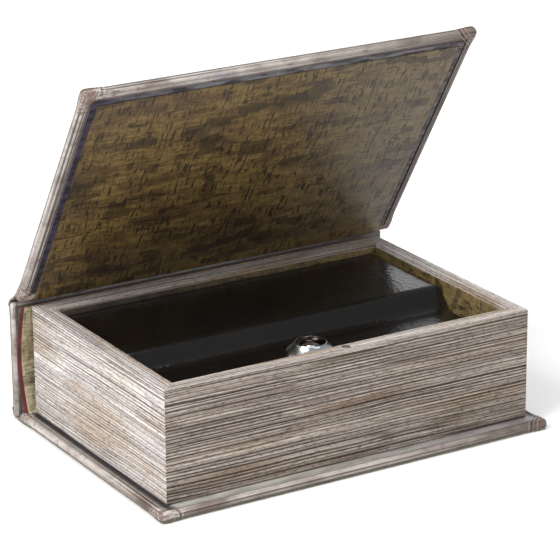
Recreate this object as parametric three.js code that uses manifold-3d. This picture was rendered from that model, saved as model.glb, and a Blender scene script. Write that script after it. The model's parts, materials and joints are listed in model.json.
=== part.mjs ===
// A book safe: a case-bound dummy book whose page block is a box of four walls,
// holding a steel strongbox with a stepped, hinged lid and a small cam lock.
//
// Frame, in millimetres: X runs along the spine, -Y is the fore-edge, +Y the spine,
// +Z up. The origin is under the middle of the page block, on the back cover's underside.
import * as THREE from 'three';
import { mergeVertices } from 'three/addons/utils/BufferGeometryUtils.js';
import Module from 'manifold-3d';

const wasm = await Module();
wasm.setup();

// ---- driving dimensions ----

const glue = 0.2;             // glue line or slip between two pieces that meet
const slip = 0.3;             // running gap between two pieces that move
const curveSteps = 24;        // sides of a round piece

const block = { length: 172, depth: 114, height: 48 };
const board = { thick: 4, sideSquare: 6, frontSquare: 7, jointGap: 3.4, edge: 1 };
const wall = { side: 7, front: 6.5, back: 9 };
const lining = 0.8;           // printed card that lines the page block
const floorThick = 2;
const coverAngle = 57.5;      // how far the front cover stands open
const paper = 0.3;

const steel = 1.2;            // sheet of the strongbox
const lidDrop = { plateau: 2.8, ledge: 10.8 };     // below the rim of the page block
const lidStep = { start: -3, slope: 50, crest: 5, foot: 7, steps: 5 };
const lidEdge = { radius: 4, skirt: 4 };           // rounded side edge of the lid, and its skirt
const lidGap = { side: 0.5, front: 1, back: 1.5 }; // from the lid to the lining
const hinge = { inset: 6, drop: 3.7, knuckle: 2, pin: 1, span: 50, room: 4 };   // room under the lid's tail

const lock = {
  x: -2, fromFront: 29, capRadius: 10.4, capRim: 7.9, capHeight: 5.5, barrel: 5.9, length: 12.5,
};
const plug = { radius: 3.7, bore: 3.9, tail: 2.2 };
const wafer = { radius: 3.55, width: 4, thick: 0.6, pitch: 2.6, count: 4, travel: 0.7 };
const cam = { thick: 1.6, reach: 15, width: 8 };

// ---- derived places ----

const halfLength = block.length / 2;
const halfDepth = block.depth / 2;
const rim = board.thick + block.height;
const coverHalf = halfLength + board.sideSquare;
const foreEdge = -halfDepth - board.frontSquare;
const jointEdge = halfDepth + board.jointGap;      // where both cover boards end
const spineInner = halfDepth + 6.4;
const spineOuter = spineInner + board.thick;
const spineLow = 1.6;
const spineTop = rim + 0.2;
const coverAxis = { y: jointEdge, z: rim + board.thick + 0.2 };
const coverUnder = -board.thick + 0.5;             // cover board's inner face, below its axis
const spineAxis = { y: spineOuter - 0.3, z: 0.3 }; // fold between back cover and spine

const cavity = {
  x: halfLength - wall.side - glue - lining,
  front: -halfDepth + wall.front + glue + lining,
  back: halfDepth - wall.back - glue - lining,
  floor: board.thick + glue + floorThick,
};
const lid = {
  x: cavity.x - lidGap.side,
  front: cavity.front + lidGap.front,
  back: cavity.back - lidGap.back,
  plateau: rim - lidDrop.plateau,
  ledge: rim - lidDrop.ledge,
};
const tray = {
  x: lid.x - steel - slip,
  front: lid.front + steel + slip,
  back: cavity.back - 0.5,
  low: cavity.floor + glue,
  backTop: lid.plateau - hinge.drop - hinge.room,
};
const lidAxis = { y: cavity.back - hinge.inset, z: lid.plateau - hinge.drop };
const lockAt = { x: lock.x, y: -halfDepth + lock.fromFront };
const barrelTop = lid.ledge + 3;
const barrelLow = lid.ledge - lock.length;
const camTop = barrelLow - slip;
const magnetAt = { x: -1, y: -halfDepth + 3.4, radius: 2, depth: 3 };
const keeper = { radius: 4, depth: 1.5 };

// ---- small tools ----

function toSolid(geometry) {
  const bare = geometry.clone();
  bare.deleteAttribute('normal');
  bare.deleteAttribute('uv');
  const merged = mergeVertices(bare, 1e-4);
  return new wasm.Manifold(new wasm.Mesh({
    numProp: 3,
    vertProperties: new Float32Array(merged.attributes.position.array),
    triVerts: new Uint32Array(merged.index.array),
  }));
}

function toGeometry(solid) {
  const mesh = solid.getMesh();
  const geometry = new THREE.BufferGeometry();
  geometry.setAttribute('position', new THREE.BufferAttribute(mesh.vertProperties, 3));
  geometry.setIndex(new THREE.BufferAttribute(mesh.triVerts, 1));
  geometry.computeVertexNormals();
  return geometry;
}

function cut(geometry, ...tools) {
  return toGeometry(tools.reduce((solid, tool) => solid.subtract(toSolid(tool)), toSolid(geometry)));
}

function join(geometry, ...others) {
  return toGeometry(others.reduce((solid, other) => solid.add(toSolid(other)), toSolid(geometry)));
}

function common(geometry, other) {
  return toGeometry(toSolid(geometry).intersect(toSolid(other)));
}

function block3(xs, ys, zs) {
  const geometry = new THREE.BoxGeometry(xs[1] - xs[0], ys[1] - ys[0], zs[1] - zs[0]);
  return geometry.translate((xs[0] + xs[1]) / 2, (ys[0] + ys[1]) / 2, (zs[0] + zs[1]) / 2);
}

function outline(points) {
  return new THREE.Shape(points.map(([a, b]) => new THREE.Vector2(a, b)));
}

// A shape drawn in plan (x, y), standing from low to high.
function standing(shape, low, high) {
  const geometry = new THREE.ExtrudeGeometry(shape, {
    depth: high - low, bevelEnabled: false, curveSegments: curveSteps / 2,
  });
  return geometry.translate(0, 0, low);
}

// A shape drawn in section (y, z), running along X from left to right.
function running(shape, left, right) {
  const geometry = new THREE.ExtrudeGeometry(shape, {
    depth: right - left, bevelEnabled: false, curveSegments: curveSteps / 2,
  });
  geometry.applyMatrix4(new THREE.Matrix4().makeBasis(
    new THREE.Vector3(0, 1, 0), new THREE.Vector3(0, 0, 1), new THREE.Vector3(1, 0, 0)));
  return geometry.translate(left, 0, 0);
}

function upright(radius, low, high, at) {
  const geometry = new THREE.CylinderGeometry(radius, radius, high - low, curveSteps);
  return geometry.rotateX(Math.PI / 2).translate(at.x, at.y, (low + high) / 2);
}

function lying(radius, left, right, y, z) {
  const geometry = new THREE.CylinderGeometry(radius, radius, right - left, curveSteps);
  return geometry.rotateZ(Math.PI / 2).translate((left + right) / 2, y, z);
}

// A closed profile of [radius, z] points, turned about the upright axis at a place.
function turned(profile, at) {
  const points = profile.map(([r, z]) => new THREE.Vector2(r, z));
  return new THREE.LatheGeometry(points, curveSteps).rotateX(Math.PI / 2).translate(at.x, at.y, 0);
}

// A cover board with its wrapped edges eased, between the given limits.
function easedBoard(xs, ys, zs) {
  const ease = board.edge;
  const plan = outline([
    [xs[0] + ease, ys[0] + ease], [xs[1] - ease, ys[0] + ease],
    [xs[1] - ease, ys[1] - ease], [xs[0] + ease, ys[1] - ease],
  ]);
  const geometry = new THREE.ExtrudeGeometry(plan, {
    depth: zs[1] - zs[0] - 2 * ease, bevelEnabled: true,
    bevelThickness: ease, bevelSize: ease, bevelSegments: 3,
  });
  return geometry.translate(0, 0, zs[0] + ease);
}

// ---- materials ----

function finish(color, roughness, metalness = 0) {
  return new THREE.MeshStandardMaterial({ color, roughness, metalness });
}

const finishes = {
  cover: finish('#9c9088', 0.7),
  pages: finish('#b0a49a', 0.75),
  lining: finish('#7a6840', 0.65),
  cloth: finish('#6d2a2a', 0.8),
  enamel: finish('#191614', 0.25, 0.2),
  zinc: finish('#a9abae', 0.35, 0.9),
  chrome: finish('#d6d8da', 0.08, 1),
  brass: finish('#b59a5a', 0.3, 1),
  millboard: finish('#8b7a62', 0.8),
};

const safe = new THREE.Group();

function part(name, geometry, material, group = safe) {
  const mesh = new THREE.Mesh(geometry, material);
  mesh.name = name;
  group.add(mesh);
}

// ---- back cover and page block (base) ----

const screwAt = [[-66, -36], [66, -36], [66, 30], [-66, 30]].map(([x, y]) => ({ x, y }));
const screw = { radius: 1.5, hole: 1.8, head: 3.2, headHeight: 1.4, tip: 2.5, pilot: 2 };

function backCover() {
  const plate = easedBoard([-coverHalf, coverHalf], [foreEdge, jointEdge], [0, board.thick]);
  return cut(plate, ...screwAt.map((at) => upright(screw.hole, screw.pilot, board.thick + 1, at)));
}

// The four walls stand between an outer and an inner rectangle and meet on mitres.
function pageWalls() {
  const [x, y] = [halfLength, halfDepth];
  const outer = [[-x, -y], [x, -y], [x, y], [-x, y]];
  const inner = [[wall.side, wall.front], [-wall.side, wall.front], [-wall.side, -wall.back],
    [wall.side, -wall.back]].map(([dx, dy], i) => [outer[i][0] + dx, outer[i][1] + dy]);
  return outer.map((start, i) => {
    const next = (i + 1) % outer.length;
    const along = [Math.sign(outer[next][0] - start[0]), Math.sign(outer[next][1] - start[1])];
    const shift = ([px, py], way) => [px + way * along[0] * glue / 2, py + way * along[1] * glue / 2];
    const plan = [shift(start, 1), shift(outer[next], -1), shift(inner[next], -1), shift(inner[i], 1)];
    return standing(outline(plan), board.thick + glue, rim);
  });
}

function blockFloor() {
  const reach = halfLength - wall.side - glue;
  const plate = block3(
    [-reach, reach], [-halfDepth + wall.front + glue, halfDepth - wall.back - glue],
    [board.thick + glue, cavity.floor]);
  return cut(plate, ...screwAt.map((at) => upright(screw.hole, 0, cavity.floor + 1, at)));
}

// Printed card on the inside of each wall, from the floor to the rim.
function liningPanels() {
  const [low, x, front, back] = [cavity.floor + glue, cavity.x, cavity.front, cavity.back];
  const across = [-x - lining, x + lining];
  const along = [front + glue, back - glue];
  return {
    lining_front: block3(across, [front - lining, front], [low, rim]),
    lining_back: block3(across, [back, back + lining], [low, rim]),
    lining_left: block3([-x - lining, -x], along, [low, rim]),
    lining_right: block3([x, x + lining], along, [low, rim]),
  };
}

// Covering paper that bridges the joint between the back cover and the spine.
function lowerJointStrip() {
  return block3([-coverHalf + 0.5, coverHalf - 0.5], [jointEdge + glue, spineAxis.y - 0.5], [0, 1]);
}

// ---- strongbox (base) ----

// Height of the lid's upper face along Y: a plateau, an S-shaped step and a front ledge.
function stepOutline() {
  const slope = THREE.MathUtils.degToRad(lidStep.slope);
  const fall = lid.plateau - lid.ledge;
  const arcs = (lidStep.crest + lidStep.foot) * (1 - Math.cos(slope));
  const straight = (fall - arcs) / Math.sin(slope);
  const points = [];
  for (let i = 0; i <= lidStep.steps; i += 1) {
    const turn = slope * i / lidStep.steps;
    points.push([lidStep.start - lidStep.crest * Math.sin(turn),
      lid.plateau - lidStep.crest * (1 - Math.cos(turn))]);
  }
  const footEnd = points[lidStep.steps][0] - straight * Math.cos(slope) - lidStep.foot * Math.sin(slope);
  for (let i = lidStep.steps; i >= 0; i -= 1) {
    const turn = slope * i / lidStep.steps;
    points.push([footEnd + lidStep.foot * Math.sin(turn), lid.ledge + lidStep.foot * (1 - Math.cos(turn))]);
  }
  return points;
}

const step = stepOutline();
const trayScoop = 3.8;        // how far the tray's side walls stay below the lid

function strongboxTray() {
  const below = step.map(([y, z]) => [y, z - trayScoop]);
  const side = outline([
    [tray.front, tray.low], [tray.back, tray.low], [tray.back, tray.backTop],
    [lidAxis.y - 6, tray.backTop], [lidAxis.y - 8, lid.plateau - trayScoop],
    ...below, [tray.front, lid.ledge - trayScoop],
  ]);
  const inside = block3(
    [-tray.x + steel, tray.x - steel], [tray.front + steel, tray.back - steel], [tray.low + steel, rim]);
  const holes = screwAt.map((at) => upright(screw.hole, 0, tray.low + steel + 1, at));
  return cut(running(side, -tray.x, tray.x), inside, ...holes);
}

function panScrew(at) {
  const seat = tray.low + steel + 0.1;
  const [r, head] = [screw.radius, screw.head];
  const drive = block3([at.x - 2, at.x + 2], [at.y - 0.4, at.y + 0.4], [seat + 0.8, seat + 2]);
  const body = turned([[0, screw.tip], [r, screw.tip + r], [r, seat], [head, seat], [head, seat + 0.7],
    [head * 0.7, seat + screw.headHeight], [0, seat + screw.headHeight]], at);
  return cut(body, drive);
}

const strike = { half: 9, reach: 9, thick: 1.2, leg: 10 };

// Angle on the tray's front wall; the cam turns in under its lip.
function strikeLip() {
  const back = tray.front + steel + 0.1;
  const lipLow = camTop + 0.5;
  const lipTop = lipLow + strike.thick;
  const section = outline([
    [back, lipLow - strike.leg], [back + strike.thick, lipLow - strike.leg],
    [back + strike.thick, lipLow], [back + strike.reach, lipLow], [back + strike.reach, lipTop],
    [back, lipTop],
  ]);
  return running(section, lockAt.x - strike.half, lockAt.x + strike.half);
}

const knuckleWide = { outer: 6, inner: 9 };

function ring(left, right) {
  return lying(hinge.knuckle, left, right, lidAxis.y, lidAxis.z);
}

function pinHole(left, right) {
  return lying(hinge.pin + 0.2, left - 1, right + 1, lidAxis.y, lidAxis.z);
}

// Two knuckles on webs that stand on a foot fixed to the tray's back wall.
function hingeBracket(centre) {
  const inner = knuckleWide.inner / 2 + slip;
  const outer = inner + knuckleWide.outer;
  const [y, z] = [lidAxis.y, lidAxis.z];
  const footTop = z - 7;
  const wallFace = tray.back - steel - 0.1;
  const foot = block3([centre - outer, centre + outer], [y - 1, wallFace], [footTop - 8, footTop]);
  const knuckles = [[-outer, -inner], [inner, outer]].map(([a, b]) => [centre + a, centre + b]);
  const webs = knuckles.map((xs) => block3(xs, [y - 1, y + 1], [footTop - 1, z]));
  const rings = knuckles.map(([a, b]) => ring(a, b));
  return cut(join(foot, ...webs, ...rings), pinHole(centre - outer, centre + outer));
}

// ---- lid of the strongbox ----

// A leaf under the lid's plateau with the middle knuckle.
function hingeLeaf(centre) {
  const half = knuckleWide.inner / 2;
  const [y, z] = [lidAxis.y, lidAxis.z];
  const top = lid.plateau - steel - 0.1;
  const leaf = block3([centre - half, centre + half], [y - 16, y + 1], [top - 1, top]);
  const web = block3([centre - half, centre + half], [y - 1, y + 1], [z, top]);
  return cut(join(leaf, web, ring(centre - half, centre + half)), pinHole(centre - half, centre + half));
}

// The rounded side edge: [distance in from the side, drop], from the flat to the skirt's foot.
function lidEdgeSection() {
  const [radius, steps] = [lidEdge.radius, 4];
  const section = [];
  for (let i = 0; i <= steps; i += 1) {
    const turn = Math.PI / 2 * i / steps;
    section.push([radius * (1 - Math.sin(turn)), radius * (1 - Math.cos(turn)), turn]);
  }
  section.push([0, radius + lidEdge.skirt, Math.PI / 2]);
  return section;
}

// Pressed steel: one sheet, bent down at both sides and stepped from back to front.
function steelLid() {
  const edge = lidEdgeSection();
  const stations = [...edge.slice().reverse().map((e) => ({ side: -1, e })),
    ...edge.map((e) => ({ side: 1, e }))];
  const rows = [[lid.back, lid.plateau], ...step, [lid.front, lid.ledge]];
  const sheet = new THREE.BoxGeometry(1, 1, 1, stations.length - 1, rows.length - 1, 1);
  const place = sheet.attributes.position;
  for (let i = 0; i < place.count; i += 1) {
    const column = Math.round((place.getX(i) + 0.5) * (stations.length - 1));
    const row = Math.round((place.getY(i) + 0.5) * (rows.length - 1));
    const { side, e: [inset, drop, turn] } = stations[column];
    const [y, top] = rows[rows.length - 1 - row];
    const sunk = place.getZ(i) > 0 ? 0 : steel;
    place.setXYZ(i, side * (lid.x - inset - sunk * Math.sin(turn)), y, top - drop - sunk * Math.cos(turn));
  }
  const skirtLow = lid.ledge - lidEdge.radius - lidEdge.skirt;
  const inner = lid.x - lidEdge.radius;
  const skirt = block3([-inner, inner], [lid.front, lid.front + steel], [skirtLow, lid.ledge - 0.4]);
  const hole = upright(lock.barrel + 0.3, skirtLow, rim, lockAt);
  return cut(join(sheet, skirt), hole);
}

// Dished chrome cap over the head of the lock.
function lockCap() {
  const base = lid.ledge + 0.1;
  const top = base + lock.capHeight;
  const [foot, r] = [lock.capRadius, lock.capRim];
  return turned([
    [plug.bore + 0.6, base + 3.6], [r - 1.3, base + 3.6], [r - 1.3, base], [foot, base], [foot, base + 0.6],
    [foot - 0.7, base + 1.4], [r + 0.5, base + 4], [r, top], [r - 0.7, top], [r - 1.5, top - 0.6],
    [plug.bore + 0.6, top - 1.3], [plug.bore + 0.6, base + 3.6],
  ], lockAt);
}

const waferTravelRoom = wafer.radius + wafer.travel + 0.35;

function lockHousing() {
  const body = turned([
    [plug.bore, barrelLow], [lock.barrel, barrelLow], [lock.barrel, lid.ledge + 0.1],
    [lock.barrel + 0.5, lid.ledge + 0.1], [lock.barrel + 0.5, barrelTop], [plug.bore, barrelTop],
    [plug.bore, barrelLow],
  ], lockAt);
  const [a, b] = [wafer.width / 2 + 0.3, waferTravelRoom];
  const heights = [barrelLow + 1.2, barrelTop - 1.2];
  const grooves = [[a, b], [b, a]].map(([dx, dy]) => block3(
    [lockAt.x - dx, lockAt.x + dx], [lockAt.y - dy, lockAt.y + dy], heights));
  return cut(body, ...grooves);
}

function washer(inner, outer, low, high, at) {
  return turned([[inner, low], [outer, low], [outer, high], [inner, high], [inner, low]], at);
}

function lockNut() {
  const high = lid.ledge - steel - 0.9;
  const hexagon = new THREE.Shape();
  for (let i = 0; i < 6; i += 1) {
    const turn = Math.PI / 3 * i;
    const point = [lockAt.x + 9 * Math.cos(turn), lockAt.y + 9 * Math.sin(turn)];
    if (i === 0) hexagon.moveTo(...point);
    else hexagon.lineTo(...point);
  }
  hexagon.closePath();
  const nut = standing(hexagon, high - 2.5, high);
  return cut(nut, upright(lock.barrel + 0.2, high - 4, high + 1, lockAt));
}

// ---- turning plug, its cam and its wafers ----

const plugTop = lid.ledge + 4.5;
const plugLow = camTop + 0.1;
const waferLevels = Array.from({ length: wafer.count }, (_, i) => barrelLow + 2.6 + wafer.pitch * i);
const camSpan = [camTop - cam.thick, camTop];
const camScrew = { radius: 1.1, hole: 1.3, head: 3.2, headHeight: 1.8, tip: 1.5 };

function lockPlug() {
  const stem = upright(plug.radius, plugLow, plugTop, lockAt);
  const tail = block3([lockAt.x - plug.tail, lockAt.x + plug.tail],
    [lockAt.y - plug.tail, lockAt.y + plug.tail], [camSpan[0] + 0.2, plugLow + 0.5]);
  const keyway = block3([lockAt.x - 0.5, lockAt.x + 0.5], [lockAt.y - 2.1, lockAt.y + 2.1],
    [waferLevels[0] - 0.6, plugTop + 1]);
  const half = wafer.thick / 2 + 0.2;
  const slots = waferLevels.map((z) => block3([lockAt.x - wafer.width / 2 - 0.15,
    lockAt.x + wafer.width / 2 + 0.15], [lockAt.y - 5, lockAt.y + 5], [z - half, z + half]));
  const tapped = upright(camScrew.hole, camSpan[0] - 1, camTop + camScrew.tip, lockAt);
  return cut(join(stem, tail), keyway, tapped, ...slots);
}

// A flat tumbler with a window for the key; its ends follow the plug.
function waferPlate(level) {
  const [low, high] = [level - wafer.thick / 2, level + wafer.thick / 2];
  const half = wafer.width / 2;
  const round = upright(wafer.radius, low, high, lockAt);
  const strip = block3([lockAt.x - half, lockAt.x + half], [lockAt.y - 5, lockAt.y + 5], [low - 1, high + 1]);
  const window = block3([lockAt.x - 0.7, lockAt.x + 0.7], [lockAt.y - 2.2, lockAt.y + 2.2],
    [low - 1, high + 1]);
  return cut(common(round, strip), window);
}

// Flat bar with a rounded tip; it points along +X while the box is unlocked.
function lockCam() {
  const half = cam.width / 2;
  const bar = new THREE.Shape();
  bar.moveTo(lockAt.x - half, lockAt.y - half);
  bar.lineTo(lockAt.x + cam.reach - half, lockAt.y - half);
  bar.absarc(lockAt.x + cam.reach - half, lockAt.y, half, -Math.PI / 2, Math.PI / 2, false);
  bar.lineTo(lockAt.x - half, lockAt.y + half);
  bar.closePath();
  const gap = plug.tail + 0.2;
  const square = block3([lockAt.x - gap, lockAt.x + gap], [lockAt.y - gap, lockAt.y + gap],
    [camSpan[0] - 1, camSpan[1] + 1]);
  return cut(standing(bar, ...camSpan), square);
}

function camFixing() {
  const seat = camSpan[0] - 0.1;
  const low = seat - camScrew.headHeight;
  const r = camScrew.radius;
  const body = turned([[0, low], [camScrew.head, low], [camScrew.head, seat], [r, seat],
    [r, camTop + camScrew.tip - 0.4], [0, camTop + camScrew.tip - 0.4]], lockAt);
  const drive = block3([lockAt.x - 4, lockAt.x + 4], [lockAt.y - 0.4, lockAt.y + 0.4], [low - 1, low + 0.8]);
  return cut(body, drive);
}

// ---- spine ----

// A thin sheet inside the spine, bowed back towards it between top and bottom.
function bowedSheet(ends, middle, thick, half) {
  const [low, high, steps] = [board.thick + 1, rim - 0.8, 8];
  const face = (offset) => Array.from({ length: steps + 1 }, (_, i) => {
    const t = i / steps;
    return [ends + (middle - ends) * Math.sin(Math.PI * t) + offset, low + (high - low) * t];
  });
  return running(outline([...face(0), ...face(thick).reverse()]), -half, half);
}

// Covering paper from the spine's top edge up to the cover's fold.
function upperJointStrip() {
  const near = coverAxis.y + 0.8;
  const section = outline([
    [near, coverAxis.z - 1], [spineOuter - 0.6, spineTop + 0.1], [spineOuter + 0.2, spineTop + 0.1],
    [spineOuter + 0.2, spineTop + 0.9], [near, coverAxis.z - 0.1],
  ]);
  return running(section, -coverHalf + 0.5, coverHalf - 0.5);
}

// ---- front cover, drawn closed with its fold at the origin of a turned group ----

const magnetUnderCover = { x: magnetAt.x, y: magnetAt.y - coverAxis.y };

function frontCover() {
  const plate = easedBoard([-coverHalf, coverHalf], [foreEdge - coverAxis.y, 0],
    [coverUnder, coverUnder + board.thick]);
  return cut(plate, upright(keeper.radius + 0.3, coverUnder - 1, coverUnder + keeper.depth + 0.3,
    magnetUnderCover));
}

function frontEndpaper() {
  const reach = coverHalf - 7;
  return block3([-reach, reach], [foreEdge - coverAxis.y + 7, -0.6],
    [coverUnder - 0.1 - paper, coverUnder - 0.1]);
}

// ---- the assembly ----

part('back_cover_board', backCover(), finishes.cover);
part('lower_joint_strip', lowerJointStrip(), finishes.cover);
const wallNames = ['page_block_front', 'page_block_right', 'page_block_back', 'page_block_left'];
const magnetHole = upright(magnetAt.radius + glue, rim - magnetAt.depth - glue, rim + 1, magnetAt);
pageWalls().forEach((geometry, i) => {
  part(wallNames[i], i === 0 ? cut(geometry, magnetHole) : geometry, finishes.pages);
});
part('page_block_floor', blockFloor(), finishes.millboard);
for (const [name, geometry] of Object.entries(liningPanels())) part(name, geometry, finishes.lining);
part('rim_magnet', upright(magnetAt.radius, rim - magnetAt.depth, rim + 0.05, magnetAt), finishes.zinc);

part('strongbox_tray', strongboxTray(), finishes.enamel);
screwAt.forEach((at, i) => part(`tray_screw_${i + 1}`, panScrew(at), finishes.zinc));
part('strike_lip', strikeLip(), finishes.enamel);
for (const [side, centre] of [['left', -hinge.span], ['right', hinge.span]]) {
  const pinHalf = knuckleWide.inner / 2 + slip + knuckleWide.outer;
  part(`hinge_bracket_${side}`, hingeBracket(centre), finishes.enamel);
  part(`hinge_pin_${side}`, lying(hinge.pin, centre - pinHalf, centre + pinHalf, lidAxis.y, lidAxis.z),
    finishes.zinc);
  part(`hinge_leaf_${side}`, hingeLeaf(centre), finishes.enamel);
}

part('steel_lid', steelLid(), finishes.enamel);
part('lock_cap', lockCap(), finishes.chrome);
part('lock_housing', lockHousing(), finishes.zinc);
part('spur_washer', washer(lock.barrel + 0.2, 8.4, lid.ledge - steel - 0.8, lid.ledge - steel - 0.1, lockAt),
  finishes.zinc);
part('lock_nut', lockNut(), finishes.zinc);

part('lock_plug', lockPlug(), finishes.brass);
part('lock_cam', lockCam(), finishes.zinc);
part('cam_screw', camFixing(), finishes.zinc);
waferLevels.forEach((level, i) => part(`wafer_${i + 1}`, waferPlate(level), finishes.brass));

part('spine_board', easedBoard([-coverHalf, coverHalf], [spineInner, spineOuter], [spineLow, spineTop]),
  finishes.cover);
part('spine_lining', bowedSheet(halfDepth + 0.8, halfDepth + 5.2, paper, coverHalf - 3), finishes.lining);
part('spine_hinge_cloth', bowedSheet(halfDepth + 1.4, halfDepth + 5.8, paper, coverHalf - 1.2),
  finishes.cloth);
part('upper_joint_strip', upperJointStrip(), finishes.cover);

const cover = new THREE.Group();
cover.position.set(0, coverAxis.y, coverAxis.z);
cover.rotation.x = -THREE.MathUtils.degToRad(coverAngle);
safe.add(cover);
part('front_cover_board', frontCover(), finishes.cover, cover);
part('front_endpaper', frontEndpaper(), finishes.lining, cover);
part('cover_keeper', upright(keeper.radius, coverUnder + 0.1, coverUnder + 0.1 + keeper.depth,
  magnetUnderCover), finishes.zinc, cover);

export default safe;
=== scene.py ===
"""A book safe: a dummy book with a steel strongbox inside its page block.

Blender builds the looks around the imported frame, in metres: printed paper on bull-nosed
boards, page-edge print on the block, wood-print papers, red book cloth, black enamelled
steel and a chromed cam lock.
"""

import json
import math

import bmesh
import bpy
from mathutils import Matrix, Vector
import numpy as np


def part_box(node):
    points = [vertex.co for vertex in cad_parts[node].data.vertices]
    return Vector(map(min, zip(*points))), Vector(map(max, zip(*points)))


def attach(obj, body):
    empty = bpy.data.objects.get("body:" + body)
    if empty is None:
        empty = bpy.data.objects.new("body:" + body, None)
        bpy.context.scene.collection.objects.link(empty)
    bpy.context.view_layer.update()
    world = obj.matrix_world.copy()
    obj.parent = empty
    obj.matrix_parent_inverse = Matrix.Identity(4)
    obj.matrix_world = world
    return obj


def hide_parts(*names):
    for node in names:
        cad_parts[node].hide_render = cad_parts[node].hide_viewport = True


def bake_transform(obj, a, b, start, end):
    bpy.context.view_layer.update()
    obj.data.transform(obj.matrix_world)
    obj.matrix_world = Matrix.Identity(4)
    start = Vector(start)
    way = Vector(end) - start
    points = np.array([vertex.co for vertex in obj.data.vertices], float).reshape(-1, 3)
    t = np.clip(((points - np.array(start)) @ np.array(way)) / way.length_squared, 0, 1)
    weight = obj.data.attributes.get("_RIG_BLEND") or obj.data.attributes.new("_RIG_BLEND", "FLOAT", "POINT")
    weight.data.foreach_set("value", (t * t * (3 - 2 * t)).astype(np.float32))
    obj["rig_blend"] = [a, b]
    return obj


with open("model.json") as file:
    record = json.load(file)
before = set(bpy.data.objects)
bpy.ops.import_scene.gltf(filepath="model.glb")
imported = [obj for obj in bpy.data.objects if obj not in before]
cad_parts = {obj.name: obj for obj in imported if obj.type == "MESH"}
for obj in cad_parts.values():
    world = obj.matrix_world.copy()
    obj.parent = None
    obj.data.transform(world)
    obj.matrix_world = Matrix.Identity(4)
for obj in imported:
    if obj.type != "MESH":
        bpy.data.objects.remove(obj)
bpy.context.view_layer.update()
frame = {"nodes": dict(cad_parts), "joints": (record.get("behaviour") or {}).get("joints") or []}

MM = 0.001
SIDE = 92 * MM              # half the length of the covers and the spine


def mm(*values):
    return Vector(values) * MM


# A place is where a piece or its print lies: a location and a rotation.
UPRIGHT = ((0, 0, 0), (0, 0, 0))                # not turned
STOOD_UP = ((0, 0, 0), (0, math.pi / 2, 0))     # a print that runs up and down
COVER_HINGE = next(joint for joint in frame["joints"] if joint["name"] == "cover_hinge")
FOLD = Vector(COVER_HINGE["pos_m"])
OPENED = math.radians(-COVER_HINGE["range_deg"][0])
COVER_PLACE = (tuple(FOLD), (-OPENED, 0, 0))
COVER_TURN = Matrix.Translation(FOLD) @ Matrix.Rotation(-OPENED, 4, "X")


# ---- camera and light ----

def set_camera():
    camera = bpy.data.objects.new("camera", bpy.data.cameras.new("camera"))
    bpy.context.scene.collection.objects.link(camera)
    at, aim, roll = mm(-566.7, -945.1, 450.3), mm(-3.3, -6.4, 66.8), math.radians(-0.4675)
    look = (aim - at).to_track_quat("-Z", "Y").to_matrix().to_4x4()
    camera.matrix_world = Matrix.Translation(at) @ look @ Matrix.Rotation(roll, 4, "Z")
    camera.data.lens = 181.35
    camera.data.sensor_width = 36
    camera.data.clip_start = 0.01
    bpy.context.scene.camera = camera


def soft_light(name, at, size, power):
    """A rectangular soft box that faces the book; its place and size are in metres."""
    lamp = bpy.data.lights.new(name, "AREA")
    lamp.shape = "RECTANGLE"
    lamp.size, lamp.size_y = size
    lamp.energy = power
    light = bpy.data.objects.new(name, lamp)
    bpy.context.scene.collection.objects.link(light)
    light.location = at
    book = Vector((0, 0, 0.05))
    light.rotation_euler = (book - light.location).to_track_quat("-Z", "Y").to_euler()


def set_studio():
    soft_light("key", (-1.5, -0.35, 1.35), (1.1, 1.1), 42)
    soft_light("top", (0.1, 0.2, 1.7), (0.9, 0.9), 14)
    soft_light("front_fill", (0.5, -1.8, 0.75), (1.4, 0.8), 6)
    soft_light("back_card", (1.15, 1.15, 0.45), (1.0, 0.7), 2.2)
    world = bpy.data.worlds.new("studio")
    world.use_nodes = True
    world.node_tree.nodes["Background"].inputs["Color"].default_value = (0.96, 0.98, 1, 1)
    world.node_tree.nodes["Background"].inputs["Strength"].default_value = 0.42
    bpy.context.scene.world = world
    bpy.context.scene.view_settings.view_transform = "Standard"
    just_below = mm(0, 0, -0.2)
    bm = bmesh.new()
    bmesh.ops.create_grid(bm, x_segments=1, y_segments=1, size=6)
    bmesh.ops.translate(bm, vec=just_below, verts=bm.verts)
    mesh = bpy.data.meshes.new("floor")
    bm.to_mesh(mesh)
    bm.free()
    mesh.materials.append(studio_paper())
    floor = bpy.data.objects.new("floor", mesh)
    bpy.context.scene.collection.objects.link(floor)


# ---- nodes ----

SIZED = {"vector_type": "TEXTURE"}      # a Mapping node whose scale is a pattern's real size
BLEND = {"data_type": "RGBA"}
MULTIPLY = {"data_type": "RGBA", "blend_type": "MULTIPLY"}


def linear(code):
    """An sRGB hex colour as linear red, green, blue and alpha."""
    parts = [int(code[i:i + 2], 16) / 255 for i in (1, 3, 5)]
    return [c / 12.92 if c <= 0.04045 else ((c + 0.055) / 1.055) ** 2.4 for c in parts] + [1]


def add(finish, kind, settings=None, inputs=None):
    """Adds one node. settings are its own properties, and stops are a ramp's places and colours;
    inputs are values, or the nodes and sockets that feed it."""
    made = finish.node_tree.nodes.new("ShaderNode" + kind)
    for key, value in (settings or {}).items():
        if key != "stops":
            setattr(made, key, value)
            continue
        stops = made.color_ramp.elements
        while len(stops) < len(value):
            stops.new(1)
        for stop, (place, colour) in zip(stops, value):
            stop.position = place
            stop.color = linear(colour) if isinstance(colour, str) else (colour, colour, colour, 1)
    for key, value in (inputs or {}).items():
        socket = next(s for s in made.inputs if s.enabled and key in (s.name, s.identifier))
        if isinstance(value, bpy.types.Node):
            value = next(s for s in value.outputs if s.enabled)
        if isinstance(value, bpy.types.NodeSocket):
            finish.node_tree.links.new(value, socket)
        else:
            socket.default_value = value
    return made


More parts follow.
